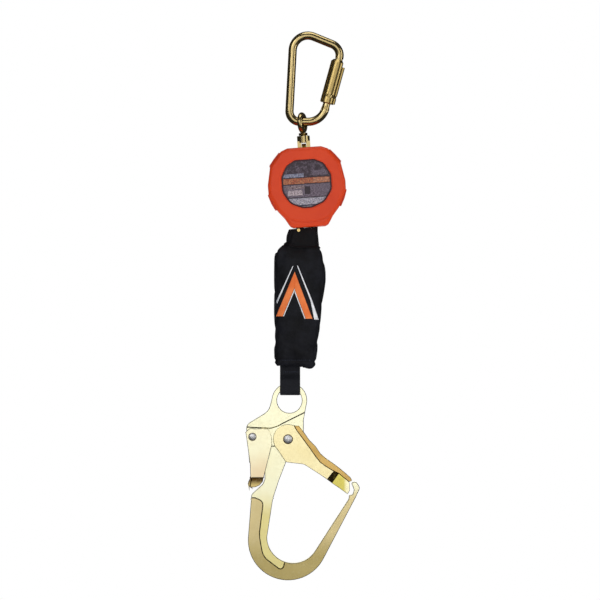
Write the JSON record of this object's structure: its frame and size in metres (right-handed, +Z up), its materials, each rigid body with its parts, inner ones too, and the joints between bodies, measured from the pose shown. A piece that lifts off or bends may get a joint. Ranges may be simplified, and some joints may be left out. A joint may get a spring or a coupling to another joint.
{
  "type": "self retracting lifeline",
  "caption": "Personal fall-arrest retractor: carabiner, swivel, webbing drum housing, fabric shock pack and large gated rebar hook, hanging in one line.",
  "frame": {"origin": "the seat inside the carabiner's top bend, where the anchor bears", "axes": "+Z up along the hanging line, +X towards the carabiner gate and hook nose, -Y the labelled front"},
  "size_m": [0.1422, 0.061, 0.6857],
  "materials": {
    "zinc_gold": "satin yellow zinc plating over steel",
    "zinc_pale": "bright pale yellow zinc plating over steel",
    "zinc_deep": "darker yellow zinc plating over steel",
    "steel": "bright plain steel",
    "spring_steel": "dark spring steel",
    "orange_shell": "fine satin grain, moulded orange plastic",
    "print": "printed label under a clear film",
    "black_plastic": "fine moulded grain",
    "black_web": "woven polyester webbing",
    "pack_fabric": "dense woven nylon with a low sheen",
    "web_grey": "undyed tear webbing",
    "brass": "polished"
  },
  "bodies": {
    "carabiner": {"carabiner_body": "zinc_gold", "carabiner_hinge_pin": "steel"},
    "carabiner_gate": {"carabiner_gate": "zinc_gold", "gate_plunger": "steel", "gate_plunger_spring": "spring_steel", "gate_latch_pin": "steel", "sleeve_stop_pin": "steel", "sleeve_spring": "spring_steel"},
    "twist_sleeve": {"twist_lock_sleeve": "zinc_gold"},
    "swivel_eye": {"swivel_eye": "zinc_gold", "swivel_washer": "brass"},
    "swivel_jaw": {"swivel_jaw": "zinc_gold", "jaw_pin": "steel"},
    "housing": {"front_cover": "orange_shell", "rear_cover": "orange_shell", "front_label": "print", "cover_screws": "steel", "frame_front_plate": "steel", "frame_rear_plate": "steel", "hanger_block": "zinc_deep", "frame_posts": "steel", "shaft_bushes": "brass", "spring_case": "black_plastic", "case_screws": "steel", "power_spring": "spring_steel", "ratchet_ring": "steel", "ratchet_rivets": "steel", "guide_roller": "black_plastic", "guide_roller_pin": "steel", "web_guide": "black_plastic", "lifeline_lead": "black_web"},
    "drum": {"drum": "steel", "main_shaft": "steel", "drum_key": "spring_steel", "shaft_circlip": "spring_steel", "spring_arbor": "steel", "web_coil": "black_web", "web_anchor_pin": "steel", "pawl_pins": "steel", "pawl_springs": "spring_steel"},
    "pawl_a": {"pawl_a": "zinc_deep"},
    "pawl_b": {"pawl_b": "zinc_deep"},
    "pack": {"lifeline_web": "black_web", "pack_cover": "pack_fabric", "neck_sleeve": "pack_fabric", "neck_eyelet": "brass", "absorber_web": "web_grey"},
    "hook_strap": {"hook_strap": "black_web"},
    "hook": {"hook_body": "zinc_pale", "gate_rivet": "steel", "lock_rivet": "steel", "hook_gate_spring": "spring_steel", "hook_lock_spring": "spring_steel"},
    "hook_gate": {"hook_gate": "zinc_pale", "gate_tip_block": "zinc_deep"},
    "hook_lock": {"hook_lock_lever": "zinc_pale"}
  },
  "joints": [
    {"name": "carabiner_gate_hinge", "type": "hinge", "parent": "carabiner", "child": "carabiner_gate", "pos_m": [0.02211, 0, -0.08514], "axis": [0, -1, 0], "range_deg": [0, 24], "stiffness_Nm_per_rad": 0.25, "springref_deg": -34.38},
    {"name": "sleeve_twist", "type": "hinge", "parent": "carabiner_gate", "child": "twist_sleeve", "pos_m": [0.02211, 0, -0.08514], "axis": [-0.2658, 0, -0.964], "range_deg": [0, 90], "stiffness_Nm_per_rad": 0.02, "springref_deg": -57.3},
    {"name": "eye_swing", "type": "hinge", "parent": "carabiner", "child": "swivel_eye", "pos_m": [-0.007, 0, -0.1025], "axis": [1, 0, 0], "range_deg": [-90, 90]},
    {"name": "swivel_spin", "type": "hinge", "parent": "swivel_eye", "child": "swivel_jaw", "pos_m": [-0.00547, 0, -0.12444], "axis": [-0.0698, 0, 0.9976], "continuous": true},
    {"name": "jaw_tilt", "type": "hinge", "parent": "swivel_jaw", "child": "housing", "pos_m": [-0.00425, 0, -0.1418], "axis": [0.9976, 0, 0.0698], "range_deg": [-15, 15]},
    {"name": "drum_spin", "type": "hinge", "parent": "housing", "child": "drum", "pos_m": [-0.00119, 0, -0.18559], "axis": [0, -1, 0], "range_deg": [0, 3900]},
    {"name": "pawl_a_swing", "type": "hinge", "parent": "drum", "child": "pawl_a", "pos_m": [-0.00258, 0, -0.16564], "axis": [0, -1, 0], "range_deg": [0, 6], "stiffness_Nm_per_rad": 0.02, "springref_deg": -17.19},
    {"name": "pawl_b_swing", "type": "hinge", "parent": "drum", "child": "pawl_b", "pos_m": [0.00021, 0, -0.20554], "axis": [0, -1, 0], "range_deg": [0, 6], "stiffness_Nm_per_rad": 0.02, "springref_deg": -17.19},
    {"name": "lifeline_payout", "type": "slide", "parent": "housing", "child": "pack", "axis": [0, 0, -1], "range_m": [0, 1.8], "stiffness_N_per_m": 8.3, "springref_m": -2.4, "deforming": ["lifeline_web"]},
    {"name": "web_bend", "type": "hinge", "parent": "pack", "child": "hook_strap", "pos_m": [-0.0222, 0, -0.4075], "axis": [1, 0, 0], "range_deg": [-35, 35]},
    {"name": "hook_turn", "type": "hinge", "parent": "hook_strap", "child": "hook", "pos_m": [-0.023, 0, -0.45075], "axis": [0, 1, 0], "range_deg": [-45, 45]},
    {"name": "hook_gate_hinge", "type": "hinge", "parent": "hook", "child": "hook_gate", "pos_m": [-0.02475, 0, -0.499], "axis": [0, 1, 0], "range_deg": [0, 34], "stiffness_Nm_per_rad": 0.8, "springref_deg": -34.38},
    {"name": "hook_lock_hinge", "type": "hinge", "parent": "hook", "child": "hook_lock", "pos_m": [-0.06915, 0, -0.496], "axis": [0, -1, 0], "range_deg": [0, 9], "stiffness_Nm_per_rad": 1, "springref_deg": -20.05}
  ],
  "couplings": [
    {"joint": "drum_spin", "follows": "lifeline_payout", "rad_per_m": 37.6},
    {"joint": "pawl_b_swing", "follows": "pawl_a_swing", "ratio": 1}
  ]
}
